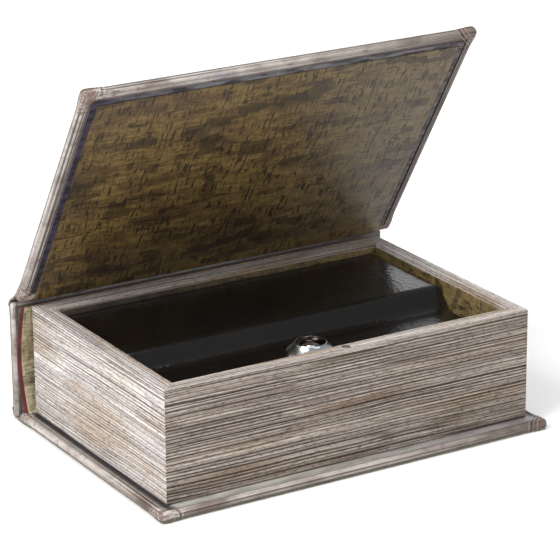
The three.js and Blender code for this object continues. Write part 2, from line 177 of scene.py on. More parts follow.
def start_finish(name):
    finish = bpy.data.materials.new(name)
    finish.use_nodes = True
    finish.node_tree.nodes.clear()
    return finish


def end_finish(finish, inputs, relief=None, depth=0.0):
    """The shader and its relief: depth is how deep the relief's dark parts lie, in metres."""
    if relief:
        inputs = {**inputs, "Normal": add(finish, "Bump", {}, {"Height": relief, "Distance": depth})}
    shader = add(finish, "BsdfPrincipled", {}, inputs)
    add(finish, "OutputMaterial", {}, {"Surface": shader})
    return finish


# ---- finishes ----

def studio_paper():
    """Background paper: matt and nearly white."""
    paper = start_finish("studio_paper")
    where = add(paper, "TexCoord").outputs["Object"]
    tone = add(paper, "TexNoise", {}, {"Vector": where, "Scale": 3.0, "Detail": 2.0})
    colour = add(paper, "ValToRGB", {"stops": [(0.3, "#f4f4f4"), (0.7, "#f7f7f7")]}, {"Fac": tone})
    return end_finish(paper, {"Base Color": colour, "Roughness": 0.9, "Specular IOR Level": 0.1})


def printed_cover_paper(name, place, reach, margin, ink=0.85, wear=1.0, end_streaks=(0.75, 260, 0.75)):
    """Litho-printed paper over greyboard, printed as a worn antique binding. It reads as pale grey-mauve
    with brown and slate mottling, browner to the right and at the corners, with thin streaks along each
    edge and an ochre outer face behind a dark line. reach is the middle and half width of the board along
    Y, in mm. margin is the print of the turned-in paper on the inner face, from the left end to the
    right, and ink is how strongly dark patches break it up. wear is how far the corners are rubbed brown,
    and end_streaks the size of the streaks along the two ends, in mm."""
    paper = start_finish(name)
    local = add(paper, "Mapping", SIZED, {
        "Vector": add(paper, "TexCoord").outputs["Object"], "Location": place[0], "Rotation": place[1]})
    axes = add(paper, "SeparateXYZ", {}, {"Vector": local}).outputs

    def print_noise(size, detail, rough):
        spot = add(paper, "Mapping", SIZED, {"Vector": local, "Scale": mm(*size)})
        return add(paper, "TexNoise", {},
                   {"Vector": spot, "Scale": 1.0, "Detail": detail, "Roughness": rough})

    def inside(axis, middle, half):
        """How far a point lies inside the board's edges along one axis."""
        off = add(paper, "Math", {"operation": "SUBTRACT"}, {"Value": axes[axis], "Value_001": middle})
        away = add(paper, "Math", {"operation": "ABSOLUTE"}, {"Value": off})
        return add(paper, "Math", {"operation": "SUBTRACT"}, {"Value": half, "Value_001": away})

    end_gap = inside("X", 0.0, SIDE)
    long_gap = inside("Y", reach[0] * MM, reach[1] * MM)
    blots = print_noise((24, 14, 10), 5.0, 0.6)
    ground = add(paper, "ValToRGB", {"stops": [
        (0.34, "#8b7d74"), (0.42, "#a59a93"), (0.49, "#bab2ac"), (0.56, "#cac3bd"), (0.63, "#b3afa9"),
        (0.72, "#96919a")]}, {"Fac": blots})

    leathery = add(paper, "ValToRGB", {"stops": [
        (0.36, "#64563f"), (0.45, "#766749"), (0.54, "#827353"), (0.66, "#6d604a")]},
        {"Fac": print_noise((30, 30, 30), 6.0, 0.7)})
    pores = add(paper, "ValToRGB", {"stops": [(0.36, "#6f6658"), (0.47, "#e9e4da"), (0.6, "#ffffff")]},
                {"Fac": print_noise((1.6, 1.2, 1.2), 5.0, 0.7)})
    outer = add(paper, "Mix", MULTIPLY, {"Factor": 0.8, "A": leathery, "B": pores})

    by_an_end = add(paper, "Math", {"operation": "LESS_THAN"}, {"Value": end_gap, "Value_001": long_gap})
    streaks = add(paper, "Mix", {"data_type": "FLOAT"}, {
        "Factor": by_an_end, "A": print_noise((420, 0.62, 0.62), 2.0, 0.5),
        "B": print_noise(end_streaks, 1.0, 0.5)})
    lines = add(paper, "ValToRGB", {"stops": [
        (0.37, "#4c3f38"), (0.43, "#8f837c"), (0.475, "#f4f1ef"), (0.56, "#ffffff"), (0.585, "#8b7f79"),
        (0.60, "#f6f3f2"), (0.66, "#b5aaa6")]}, {"Fac": streaks})
    printed = add(paper, "Mix", MULTIPLY, {"Factor": 0.85, "A": ground, "B": lines})

    both_gaps = add(paper, "Math", {"operation": "ADD"}, {"Value": end_gap, "Value_001": long_gap})
    near_corner = add(paper, "MapRange", {}, {
        "Value": both_gaps, "From Min": 6 * MM, "From Max": 17 * MM, "To Min": 0.16 * wear, "To Max": 0.0})
    rubbed = add(paper, "Math", {"operation": "ADD"},
                 {"Value": near_corner, "Value_001": print_noise((5, 2.4, 2.4), 4.0, 0.65)})
    worn = add(paper, "ValToRGB", {"stops": [(0.60, 0.0), (0.70, 0.85)]}, {"Fac": rubbed})
    to_right = add(paper, "MapRange", {}, {"Value": axes["X"], "From Min": 0.0, "From Max": SIDE,
                                           "To Max": 0.8})
    darker = add(paper, "Mix", MULTIPLY, {"Factor": to_right, "A": printed, "B": linear("#7d6d64")})
    browned = add(paper, "Mix", BLEND, {"Factor": worn, "A": darker, "B": linear("#6f584d")})

    along = add(paper, "MapRange", {}, {"Value": axes["X"], "From Min": -SIDE, "From Max": SIDE})
    turn_in = add(paper, "ValToRGB", {"stops": margin}, {"Fac": along})
    inked = add(paper, "ValToRGB", {"stops": [(0.42, "#1f1a1f"), (0.48, "#b9b3b6"), (0.6, "#ffffff")]},
                {"Fac": print_noise((11, 3.0, 3.0), 4.0, 0.6)})
    lined = add(paper, "Mix", MULTIPLY, {"Factor": 0.6, "A": turn_in, "B": lines})
    dark_bits = add(paper, "Mix", MULTIPLY, {"Factor": ink, "A": lined, "B": inked})

    colour = browned
    # the groove colour is painted shade, darkening the crease in the turned-in paper
    for mark, amount, tone in (("turn_in", 1.0, dark_bits), ("groove", 0.85, linear("#2f2723")),
                               ("outer_face", 1.0, outer), ("outer_line", 0.8, linear("#3a322b")),
                               ("paper_edge", 0.6, linear("#d3c6bc"))):
        marked = add(paper, "Attribute", {"attribute_name": mark}).outputs["Fac"]
        share = add(paper, "Math", {"operation": "MULTIPLY"}, {"Value": marked, "Value_001": amount})
        colour = add(paper, "Mix", BLEND, {"Factor": share, "A": colour, "B": tone})
    gloss = add(paper, "ValToRGB", {"stops": [(0.3, 0.48), (0.7, 0.66)]}, {"Fac": blots})
    return end_finish(paper, {"Base Color": colour, "Roughness": gloss},
                      print_noise((0.8, 0.8, 0.8), 3.0, 0.5), 0.06 * MM)


def page_edge_print(name, run, tones):
    """Card printed as the edges of many leaves: crisp light and dark lines along each wall, about 1.3 mm
    apart and nearly straight, with finer lines and short flecks between them. The sides take the given
    tones and the rim, facing up, mostly the pale ones, so the rim is printed paler than the sides; where
    the given tones are darker, as on the front and back walls, the darker sides are painted shade. run is
    the axis that the wall runs along."""
    card = start_finish(name)
    spot = add(card, "TexCoord")
    where = spot.outputs["Object"]
    wave_at = add(card, "Mapping", SIZED, {"Vector": where, "Scale": mm(60, 60, 60)})
    wave = add(card, "TexNoise", {}, {"Vector": wave_at, "Scale": 1.0, "Detail": 1.0})
    lift = add(card, "VectorMath", {"operation": "SCALE"},
               {"Vector": wave.outputs["Color"], "Scale": 1.4 * MM})
    waved = add(card, "VectorMath", {"operation": "ADD"}, {"Vector": where, "Vector_001": lift})

    def stretched(length, pitch):
        """Coordinates for a pattern that is long along the wall; both sizes are in mm."""
        size = mm(length, pitch, pitch) if run == "X" else mm(pitch, length, pitch)
        return add(card, "Mapping", SIZED, {"Vector": waved, "Scale": size})

    def lines(length, pitch, detail, rough=0.5):
        return add(card, "TexNoise", {}, {
            "Vector": stretched(length, pitch), "Scale": 1.0, "Detail": detail, "Roughness": rough})

    rows = add(card, "TexWave", {"bands_direction": "DIAGONAL"}, {
        "Vector": stretched(420, 2.1), "Scale": 1.0, "Distortion": 5.0, "Detail": 2.0,
        "Detail Scale": 1.3, "Detail Roughness": 0.6})
    uneven = add(card, "Math", {"operation": "MULTIPLY"},
                 {"Value": lines(300, 1.1, 2.0, 0.6), "Value_001": 0.72})
    leaves = add(card, "Math", {"operation": "MULTIPLY_ADD"},
                 {"Value": rows, "Value_001": 0.28, "Value_002": uneven})
    # painted shade: faces that look up take the pale print, so only the walls' sides keep the darker tones
    # that stand in for shade
    facing_up = add(card, "SeparateXYZ", {}, {"Vector": spot.outputs["Normal"]}).outputs["Z"]
    on_rim = add(card, "MapRange", {}, {"Value": facing_up, "From Min": 0.5, "From Max": 0.9,
                                        "To Max": 0.7})
    prints = [add(card, "ValToRGB", {"stops": [
        (0.34, tone["gap"]), (0.40, tone["shade"]), (0.46, tone["leaf"]), (0.54, tone["light"]),
        (0.58, tone["bright"]), (0.64, tone["leaf"])]}, {"Fac": leaves})
        for tone in (tones, PALE)]
    paper = add(card, "Mix", BLEND, {"Factor": on_rim, "A": prints[0], "B": prints[1]})

    strokes = add(card, "ValToRGB", {"stops": [(0.41, "#857b73"), (0.47, "#d4cfcb"), (0.52, "#ffffff")]},
                  {"Fac": lines(130, 0.36, 1.0)})
    inked = add(card, "Mix", MULTIPLY, {"Factor": 0.6, "A": paper, "B": strokes})
    flecks = add(card, "ValToRGB", {"stops": [(0.38, "#7d726a"), (0.46, "#efecea"), (0.6, "#ffffff")]},
                 {"Fac": lines(2.6, 0.5, 3.0, 0.7)})
    flecked = add(card, "Mix", MULTIPLY, {"Factor": 0.7, "A": inked, "B": flecks})
    age = add(card, "ValToRGB", {"stops": [
        (0.36, "#dccbb9"), (0.45, "#f3eee8"), (0.55, "#ffffff"), (0.66, "#ebe6ea")]},
        {"Fac": lines(70, 9.0, 2.0)})
    colour = add(card, "Mix", MULTIPLY, {"Factor": 0.8, "A": flecked, "B": age})
    return end_finish(card, {"Base Color": colour, "Roughness": 0.62, "Specular IOR Level": 0.3},
                      leaves, 0.1 * MM)


def wood_print_paper(name, place, boards, faded, hinge_band=False, cracking=0.85, shade_to_left=0.0):
    """Satin paper printed as weathered ochre wood. It reads as fine grain along the book's length in
    small blocks of uneven tone, with short dark cracks across it that crowd in places, dark stains and a
    greyer right-hand end. hinge_band is the lighter band along the fold, past the crease where the paper
    runs off the board. cracking is how dark the cracks are where they crowd, and sooty is how strongly
    painted shade darkens the print towards the left, standing in for the shade in the narrow gap under the
    lid."""
    paper = start_finish(name)
    where = add(paper, "TexCoord").outputs["Object"]
    side = add(paper, "SeparateXYZ", {}, {"Vector": where}).outputs["X"]

    def blotches(size, detail, rough=0.6, shift=0.0):
        """Noise with its size in mm, shifted by so many mm to keep it apart from the others."""
        spot = add(paper, "Mapping", SIZED, {
            "Vector": where, "Location": Vector(place[0]) + mm(shift, shift, shift), "Rotation": place[1],
            "Scale": mm(*size)})
        return add(paper, "TexNoise", {},
                   {"Vector": spot, "Scale": 1.0, "Detail": detail, "Roughness": rough})

    planks = add(paper, "ValToRGB", {"stops": boards}, {"Fac": blotches((30, 9, 9), 4.0, 0.6)})
    to_right = add(paper, "MapRange", {}, {"Value": side, "From Min": 5 * MM, "From Max": 95 * MM,
                                           "To Max": 0.75})
    wood = add(paper, "Mix", BLEND, {"Factor": to_right, "A": planks, "B": linear(faded)})
    if hinge_band:
        flat_on = add(paper, "Mapping", SIZED,
                      {"Vector": where, "Location": place[0], "Rotation": place[1]})
        depth = add(paper, "SeparateXYZ", {}, {"Vector": flat_on}).outputs["Y"]
        past_crease = add(paper, "MapRange", {}, {"Value": depth, "From Min": -8.3 * MM,
                                                  "From Max": -7.7 * MM, "To Max": 0.65})
        wood = add(paper, "Mix", BLEND, {"Factor": past_crease, "A": wood, "B": linear("#8f7a45")})

    grain = blotches((13, 0.9, 0.9), 5.0, 0.72)
    grained = add(paper, "ValToRGB", {"stops": [
        (0.32, "#4f4330"), (0.42, "#a1947c"), (0.5, "#ded5c2"), (0.58, "#ffffff"), (0.68, "#b3a68a")]},
        {"Fac": grain})
    wood = add(paper, "Mix", MULTIPLY, {"Factor": 0.5, "A": wood, "B": grained})
    upright = add(paper, "ValToRGB", {"stops": [(0.37, "#74674f"), (0.46, "#e6e0d3"), (0.6, "#ffffff")]},
                  {"Fac": blotches((0.8, 4.0, 4.0), 4.0, 0.65, 900)})
    wood = add(paper, "Mix", MULTIPLY, {"Factor": 0.6 * cracking, "A": wood, "B": upright})
    checks = add(paper, "ValToRGB", {"stops": [(0.59, "#ffffff"), (0.64, "#43382b")]},
                 {"Fac": blotches((6, 0.9, 0.9), 2.0, 0.55, 400)})
    wood = add(paper, "Mix", MULTIPLY, {"Factor": 0.6, "A": wood, "B": checks})

    blocks_at = add(paper, "Mapping", SIZED, {
        "Vector": where, "Location": place[0], "Rotation": place[1], "Scale": mm(11, 5, 5)})
    blocks = add(paper, "TexVoronoi", {"distance": "CHEBYCHEV"}, {"Vector": blocks_at, "Scale": 1.0})
    block_tone = add(paper, "SeparateColor", {}, {"Color": blocks.outputs["Color"]}).outputs["Red"]
    uneven = add(paper, "Math", {"operation": "MULTIPLY_ADD"}, {
        "Value": blotches((3, 1.0, 1.0), 4.0, 0.7), "Value_001": 0.35, "Value_002": block_tone})
    tones = add(paper, "ValToRGB", {"stops": [
        (0.1, "#b5ad9e"), (0.5, "#ffffff"), (1.02, "#e5dfd3"), (1.1, "#6b6152")]}, {"Fac": uneven})
    wood = add(paper, "Mix", MULTIPLY, {"Factor": 0.8 * cracking, "A": wood, "B": tones})

    cracks = add(paper, "ValToRGB", {"stops": [(0.565, 0.0), (0.585, 1.0)]},
                 {"Fac": blotches((1.3, 8.5, 8.5), 1.5, 0.5, 300)})
    crowd = add(paper, "ValToRGB", {"stops": [(0.44, 0.12 * cracking), (0.52, cracking)]},
                {"Fac": blotches((9, 5, 5), 4.0, 0.65, 700)})
    cracked = add(paper, "Math", {"operation": "MULTIPLY"}, {"Value": cracks, "Value_001": crowd})
    stained = add(paper, "ValToRGB", {"stops": [(0.58, 0.0), (0.64, 0.3)]},
                  {"Fac": blotches((7, 5.0, 5.0), 5.0, 0.68, 1300)})
    # painted shade: sooty darkens the print towards the left, standing in for the shade in the narrow gap
    # under the lid
    painted_left_shade = add(paper, "MapRange", {}, {"Value": side, "From Min": -30 * MM, "From Max": 70 * MM,
                                         "To Min": shade_to_left, "To Max": 0.0})
    for amount, tone in ((cracked, "#241b12"), (stained, "#382d22"), (painted_left_shade, "#1b1612")):
        wood = add(paper, "Mix", BLEND, {"Factor": amount, "A": wood, "B": linear(tone)})
    gloss = add(paper, "ValToRGB", {"stops": [(0.35, 0.42), (0.65, 0.6)]}, {"Fac": grain})
    return end_finish(paper, {"Base Color": wood, "Roughness": gloss}, grain, 0.07 * MM)


def red_book_cloth():
    """Starched cotton book cloth, dyed dark red: matt, with an even weave and slightly uneven dye. The
    thread spacing is drawn at 0.7 mm, coarser than the real 0.4 mm, so that the weave shows."""
    cloth = start_finish("red_book_cloth")
    where = add(cloth, "TexCoord").outputs["Object"]
    threads_at = add(cloth, "Mapping", SIZED, {"Vector": where, "Scale": mm(0.7, 0.7, 0.7)})
    one_band = 0.32     # the wave's own scale for about one band per thread
    warp, weft = (add(cloth, "TexWave", {"bands_direction": way},
                      {"Vector": threads_at, "Scale": one_band, "Distortion": 0.6, "Detail": 1.0})
                  for way in ("X", "Z"))
    weave = add(cloth, "Math", {"operation": "MAXIMUM"}, {"Value": warp, "Value_001": weft})
    dye = add(cloth, "TexNoise", {}, {"Vector": where, "Scale": 140.0, "Detail": 4.0})
    ground = add(cloth, "ValToRGB", {"stops": [(0.35, "#5e1f22"), (0.65, "#94383b")]}, {"Fac": dye})
    shade = add(cloth, "ValToRGB", {"stops": [(0.3, "#8c8080"), (0.9, "#ffffff")]}, {"Fac": weave})
    colour = add(cloth, "Mix", MULTIPLY, {"Factor": 0.7, "A": ground, "B": shade})
    return end_finish(cloth, {"Base Color": colour, "Roughness": 0.85, "Sheen Weight": 0.25},
                      weave, 0.15 * MM)


def black_enamel():
    """Sprayed stoving enamel on sheet steel: near-black and glossy, with orange peel about 1.6 mm across
    that breaks up the highlights."""
    enamel = start_finish("black_enamel")
    where = add(enamel, "TexCoord").outputs["Object"]
    peel = add(enamel, "TexNoise", {}, {"Vector": where, "Scale": 620.0, "Detail": 2.0, "Roughness": 0.5})
    haze = add(enamel, "TexNoise", {}, {"Vector": where, "Scale": 35.0, "Detail": 4.0})
    colour = add(enamel, "ValToRGB", {"stops": [(0.3, "#0e0c0b"), (0.7, "#141110")]}, {"Fac": haze})
    gloss = add(enamel, "ValToRGB", {"stops": [(0.3, 0.15), (0.7, 0.24)]}, {"Fac": haze})
    return end_finish(enamel, {"Base Color": colour, "Roughness": gloss, "Specular IOR Level": 0.4},
                      peel, 0.2 * MM)


def plated_steel(name, light, dark, roughness):
    """Plated steel with fine tumbling scratches, 0.4 mm apart, and stains about 4 mm across that dull it
    a little; bright with soft reflections."""
    metal = start_finish(name)
    where = add(metal, "TexCoord").outputs["Object"]
    stain = add(metal, "TexNoise", {}, {"Vector": where, "Scale": 260.0, "Detail": 5.0, "Roughness": 0.6})
    colour = add(metal, "ValToRGB", {"stops": [(0.35, dark), (0.6, light)]}, {"Fac": stain})
    gloss = add(metal, "ValToRGB", {"stops": [(0.3, roughness), (0.7, roughness + 0.12)]}, {"Fac": stain})
    scratch = add(metal, "TexNoise", {}, {"Vector": where, "Scale": 2500.0, "Detail": 2.0})
    return end_finish(metal, {"Base Color": colour, "Roughness": gloss, "Metallic": 1.0},
                      scratch, 0.008 * MM)


def fibreboard():
    """Pressed brown fibreboard: matt, with short dark and light fibres, drawn in 1.4 mm tufts so that
    they show."""
    stock = start_finish("fibreboard")
    where = add(stock, "TexCoord").outputs["Object"]
    fibres = add(stock, "TexNoise", {}, {"Vector": where, "Scale": 700.0, "Detail": 5.0, "Roughness": 0.7})
    colour = add(stock, "ValToRGB", {"stops": [(0.35, "#6a563f"), (0.55, "#8b7658"), (0.7, "#a8936f")]},
                 {"Fac": fibres})
    return end_finish(stock, {"Base Color": colour, "Roughness": 0.85}, fibres, 0.1 * MM)


# Tones of the wood print, of the page edges, and of the turned-in paper from the left end to the right.
OCHRE = [(0.34, "#58452a"), (0.43, "#695432"), (0.5, "#78623a"), (0.58, "#857041"), (0.67, "#67522f")]
PALE_OCHRE = [(0.34, "#b5a687"), (0.45, "#cfc2a2"), (0.55, "#ddd2b6"), (0.66, "#c2b492")]
SHADED_OCHRE = [(0.34, "#5f5034"), (0.45, "#83713f"), (0.55, "#94824f"), (0.66, "#6f5d3b")]
# SHADED_TAUPE is the page-edge print darkened as painted shade, for the walls whose sides face away from the
# key light
SHADED_TAUPE = {"gap": "#483e38", "shade": "#6e635b", "leaf": "#94897f", "light": "#b9afa5", "bright": "#d2c8be"}
PALE = {"gap": "#8e8782", "shade": "#aca5a0", "leaf": "#cbc5c0", "light": "#e6e1dd", "bright": "#f5f2ef"}
CASE_MARGIN = [(0.0, "#a8a39c"), (0.02, "#9b958f"), (0.024, "#2a2328"), (0.034, "#3c3439"),
               (0.05, "#c3c2b8"), (0.5, "#bcbab1"), (0.93, "#a59fa0"), (1.0, "#8f868e")]
LID_MARGIN = [(0.0, "#2b2334"), (0.04, "#4a4058"), (0.1, "#66636e"), (0.4, "#7a797c"), (0.75, "#767477"),
              (1.0, "#6c6266")]
SPINE_MARGIN = [(0.0, "#8f9084"), (0.5, "#85857a"), (1.0, "#7a7473")]

FINISHES = {
    "cover": printed_cover_paper("printed_cover_paper", UPRIGHT, (-1.8, 62.2), CASE_MARGIN, 0.3),
    "spine": printed_cover_paper("printed_cover_paper_spine", UPRIGHT, (65.4, 4.5), SPINE_MARGIN, 0.3, 0.0,
                                 (0.75, 0.75, 260)),
    "front_cover": printed_cover_paper("printed_cover_paper_front", COVER_PLACE, (-62.2, 62.2), LID_MARGIN),
    "front_pages": page_edge_print("page_edge_print_front_shaded", "X", SHADED_TAUPE),
    "end_pages": page_edge_print("page_edge_print_ends", "Y", PALE),
    "endpaper": wood_print_paper("wood_print_endpaper", COVER_PLACE, OCHRE, "#7d705b", True),
    # sooty paints shade on the lining towards the left, where it lies in the narrow gap under the lid
    "lining": wood_print_paper("wood_print_lining", STOOD_UP, SHADED_OCHRE, "#8a7a58", shade_to_left=0.85),
    "spine_lining": wood_print_paper("wood_print_spine_lining", UPRIGHT, PALE_OCHRE, "#b0a283",
                                     cracking=0.45),
    "cloth": red_book_cloth(),
    "enamel": black_enamel(),
    "zinc": plated_steel("zinc_plated_steel", "#b9bbbe", "#96989c", 0.28),
    "chrome": plated_steel("polished_chrome_plate", "#cfd4d8", "#b6bcc1", 0.16),
    "satin": plated_steel("satin_chrome_plate", "#e6e8ea", "#b9bcc0", 0.22),
    # painted reflection: dark brown chrome standing in for the dark cover and surroundings that the dish
    # would mirror
    "dish": plated_steel("chrome_with_painted_reflection", "#453e34", "#2b2721", 0.12),
    "magnet": plated_steel("nickel_plated_magnet", "#a9a7a6", "#7d7b7a", 0.4),
    "brass": plated_steel("brass", "#c2a55e", "#9d8244", 0.25),
    "board": fibreboard(),
}


# ---- modelling ----

def corners(box):
    """The low and the high corner of a CAD piece's box."""
    return [Vector(corner) for corner in box]


def round_place(box):
    """Where an upright round CAD piece stands: its axis, and its bottom, top and radius in mm."""
    low, high = corners(box)
    axis = Vector(((low.x + high.x) / 2, (low.y + high.y) / 2, 0))
    return axis, low.z / MM, high.z / MM, (high.x - low.x) / 2 / MM


def finished(name, bm, finish, replaced, body=None, crease=35):
    """A finished bmesh as a named piece that stands for its CAD nodes and rides on their body. Edges
    sharper than crease, in degrees, stay sharp."""
    bmesh.ops.remove_doubles(bm, verts=bm.verts, dist=1e-7)
    bmesh.ops.recalc_face_normals(bm, faces=bm.faces)
    mesh = bpy.data.meshes.new(name)
    bm.to_mesh(mesh)
    bm.free()
    mesh.shade_smooth()
    mesh.set_sharp_from_angle(angle=math.radians(crease))
    mesh.materials.append(FINISHES[finish])
    piece = bpy.data.objects.new(name, mesh)
    bpy.context.scene.collection.objects.link(piece)
    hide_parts(*replaced)
    if body:
        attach(piece, body)
    return piece


def ease_edges(bm, size, segments):
    bmesh.ops.bevel(bm, geom=bm.edges[:], offset=size, affect="EDGES", segments=segments, profile=0.5,
                    material=-1)


def block(low, high, ease=0.0, segments=4):
    """A box, its edges eased if ease isn't zero."""
    bm = bmesh.new()
    bmesh.ops.create_cube(bm, size=1)
    bmesh.ops.scale(bm, vec=high - low, verts=bm.verts)
    bmesh.ops.translate(bm, vec=(low + high) / 2, verts=bm.verts)
    if ease:
        ease_edges(bm, ease, segments)
    return bm


def bent_sheet(columns, rows, thick, place):
    """A sheet bent from a flat grid. place gives the spot of a grid point, from how far it lies across
    and up the sheet, 0 to 1."""
    bm = bmesh.new()
    bmesh.ops.create_grid(bm, x_segments=columns, y_segments=rows, size=0.5)
    for v in bm.verts:
        v.co = place(v.co.x + 0.5, v.co.y + 0.5)
    bmesh.ops.recalc_face_normals(bm, faces=bm.faces)
    bmesh.ops.solidify(bm, geom=bm.faces[:], thickness=thick)
    return bm


def merge(bm, other):
    """Adds another bmesh's shells to this one."""
    mesh = bpy.data.meshes.new("merging")
    other.to_mesh(mesh)
    other.free()
    bm.from_mesh(mesh)
    bpy.data.meshes.remove(mesh)


def lathe(profile, centre, steps=96):
    """A closed profile of (radius, height) points in mm that starts and ends on the axis, spun about it."""
    bm = bmesh.new()
    verts = [bm.verts.new((centre.x + r * MM, centre.y, z * MM)) for r, z in profile]
    edges = [bm.edges.new(pair) for pair in zip(verts, verts[1:])]
    bmesh.ops.spin(bm, geom=verts + edges, cent=centre, axis=(0, 0, 1), angle=math.tau, steps=steps,
                   use_merge=True)
    bmesh.ops.remove_doubles(bm, verts=bm.verts, dist=1e-6)
    return bm


def arc(radius, height, size, start, end, steps=6):
    """Profile points on an arc; start and end are in degrees, from outwards (0) to upwards (90)."""
    turns = [math.radians(start + (end - start) * i / steps) for i in range(steps + 1)]
    return [(radius + size * math.cos(t), height + size * math.sin(t)) for t in turns]


def rod(radius, bottom, top, centre):
    """A plain upright cylinder, in mm."""
    return lathe([(0, bottom), (radius, bottom), (radius, top), (0, top)], centre)


def crossed_bars(a, b, bottom, top, centre):
    """Two upright bars across each other, each reaching a mm one way and b mm the other."""
    return [block(centre + mm(-x, -y, bottom), centre + mm(x, y, top)) for x, y in ((a, b), (b, a))]


def carve(bm, *cutters):
    """Cuts closed shapes out of a closed shape."""
    shapes = []
    for shape in (bm, *cutters):
        bmesh.ops.recalc_face_normals(shape, faces=shape.faces)
        mesh = bpy.data.meshes.new("carving")
        shape.to_mesh(mesh)
        shape.free()
        shapes.append(bpy.data.objects.new("carving", mesh))
        bpy.context.scene.collection.objects.link(shapes[-1])
    for cutter in shapes[1:]:
        step = shapes[0].modifiers.new("cut", "BOOLEAN")
        step.operation, step.solver, step.object = "DIFFERENCE", "EXACT", cutter
    carved = shapes[0].evaluated_get(bpy.context.evaluated_depsgraph_get())
    result = bmesh.new()
    result.from_mesh(carved.to_mesh())
    for shape in shapes:
        bpy.data.meshes.remove(shape.data)
    return result


def cut_off(bm, at, normal, clear):
    """Cuts a closed shape along a plane; clear drops what lies behind it and closes the opening."""
    cut = bmesh.ops.bisect_plane(bm, geom=bm.verts[:] + bm.edges[:] + bm.faces[:], plane_co=at,
                                 plane_no=normal, clear_inner=clear)
    if clear:
        rim = [e for e in cut["geom_cut"] if isinstance(e, bmesh.types.BMEdge)]
        bmesh.ops.holes_fill(bm, edges=rim, sides=0)


# ---- the case: boards wrapped in printed paper ----

BULL_NOSE = 1.75 * MM       # the wrapped edge is nearly a half-round
GROOVE = [(0.3, -0.5), (0.35, 0.0), (0.3, 0.5)]       # the crease in the turned-in paper: width, depth
FOLDS = [(9.5, 0.12), (7.4, 0.28), (5.2, 0.45)]       # corner flaps: how far they reach, how thick they lie
LONG_SEAM = 8.5 * MM        # where the corner's strip ends along the long edge
STRIP_LIFT = 0.12           # how thick that strip lies
PAPER_EDGE = 0.3 * MM       # width of the pale line where the paper was cut
SUNK = 0.02 * MM            # how far the flaps stay inside the outer face
MARKS = ("turn_in", "groove", "outer_face", "outer_line", "paper_edge")


def corner_flaps(board, low, high, inner):
    """The paper gathered over each corner: nested diagonal flaps and a strip round the long edge, each
    with a thin pale cut edge. They lie on the inner face and the edges, and sink into the outer face."""
    flaps = []
    for sx, x in ((-1, low.x), (1, high.x)):
        for sy, y in ((-1, low.y), (1, high.y)):
            corner, out, away = Vector((x, y, 0)), Vector((sx, 0, 0)), Vector((0, sy, 0))
            cuts = [([(corner - (out + away) * reach * MM / 2, (out + away).normalized())], lift)
                    for reach, lift in FOLDS]
            cuts.append(([(corner - out * LONG_SEAM, out), (corner - away * BULL_NOSE, away)], STRIP_LIFT))
            for planes, lift in cuts:
                flap = board.copy()
                for v in flap.verts:
                    v.co += v.normal * lift * MM
                    v.co.z = max(v.co.z, low.z + SUNK) if inner > 0 else min(v.co.z, high.z - SUNK)
                for at, normal in planes:
                    cut_off(flap, at + normal * PAPER_EDGE, normal, False)
                    cut_off(flap, at, normal, True)
                pale = flap.verts.layers.float["paper_edge"]
                at, normal = planes[0]
                for v in flap.verts:
                    v[pale] = 1.0 if abs((v.co - at).dot(normal)) < 1e-6 else 0.0
                flaps.append(flap)
    return flaps


def mark_print(board, axis, inner, low, high, inset):
    """Marks where the print changes: on the inner face past the groove, in the groove, which takes painted
    shade, and on the outer face with the line round it. axis is across the board, and inner is +1 or -1
    along it."""
    for mark in MARKS:
        board.verts.layers.float.new(mark)
    marks = {mark: board.verts.layers.float[mark] for mark in MARKS}
    across = 1 if axis == 2 else 2
    plane, back = (high[axis], low[axis]) if inner > 0 else (low[axis], high[axis])
    slack = 0.2 * MM
    for v in board.verts:
        edge = min(v.co.x - low.x, high.x - v.co.x, v.co[across] - low[across], high[across] - v.co[across])
        sunk, behind = abs(v.co[axis] - plane), abs(v.co[axis] - back)
        v[marks["turn_in"]] = 1.0 if sunk < 0.01 * MM and edge > inset - slack else 0.0
        v[marks["groove"]] = 1.0 if 0.1 * MM < sunk < 1 * MM and edge > BULL_NOSE + slack else 0.0
        v[marks["outer_face"]] = 1.0 if behind < 1.1 * MM else 0.0
        v[marks["outer_line"]] = 1.0 if 0.9 * MM < behind < 1.5 * MM else 0.0


def wrapped_board(low, high, inner, flat):
    """A board with bull-nosed edges. inner is +1 or -1, the side along Z that faces the pages, and flat is
    how wide the paper lies between the rounded edge and the groove, in mm."""
    board = block(low, high, BULL_NOSE, 8)
    face = max((f for f in board.faces if f.normal.z * inner > 0.99), key=lambda f: f.calc_area())
    for width, depth in [(flat, 0.0), *GROOVE]:
        bmesh.ops.inset_region(board, faces=[face], thickness=width * MM, depth=depth * MM,
                               use_even_offset=True)
    inset = BULL_NOSE + (flat + sum(width for width, depth in GROOVE)) * MM
    mark_print(board, 2, inner, low, high, inset)
    board.normal_update()
    for flap in corner_flaps(board, low, high, inner):
        merge(board, flap)
    return board


def back_cover():
    low, high = corners(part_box("back_cover_board"))
    finished("back_cover", wrapped_board(low, high, 1, 0.3), "cover", ["back_cover_board"], "base")


BOARD_THICK = 4 * MM
COVER_DEPTH = 124.4 * MM    # from the fold to the fore-edge
COVER_UNDER = -3.5 * MM     # the inner face, measured from the fold


def front_cover():
    board = wrapped_board(Vector((-SIDE, -COVER_DEPTH, COVER_UNDER)),
                          Vector((SIDE, 0, COVER_UNDER + BOARD_THICK)), -1, 1.9)
    bmesh.ops.transform(board, matrix=COVER_TURN, verts=board.verts)
    finished("front_cover", board, "front_cover", ["front_cover_board"], "front_cover")


def spine():
    low, high = corners(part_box("spine_board"))
    low.z = 0.6 * MM
    board = block(low, high, 1.3 * MM, 8)
    mark_print(board, 1, -1, low, high, 0)
    finished("spine", board, "spine", ["spine_board"], "spine")


def curve(points, steps):
    """Points in section along a cubic curve through its two middle handles."""
    a, b, c, d = (Vector((0, y * MM, z * MM)) for y, z in points)
    for i in range(steps + 1):
        t = i / steps
        yield a * (1 - t) ** 3 + b * 3 * t * (1 - t) ** 2 + c * 3 * t * t * (1 - t) + d * t ** 3


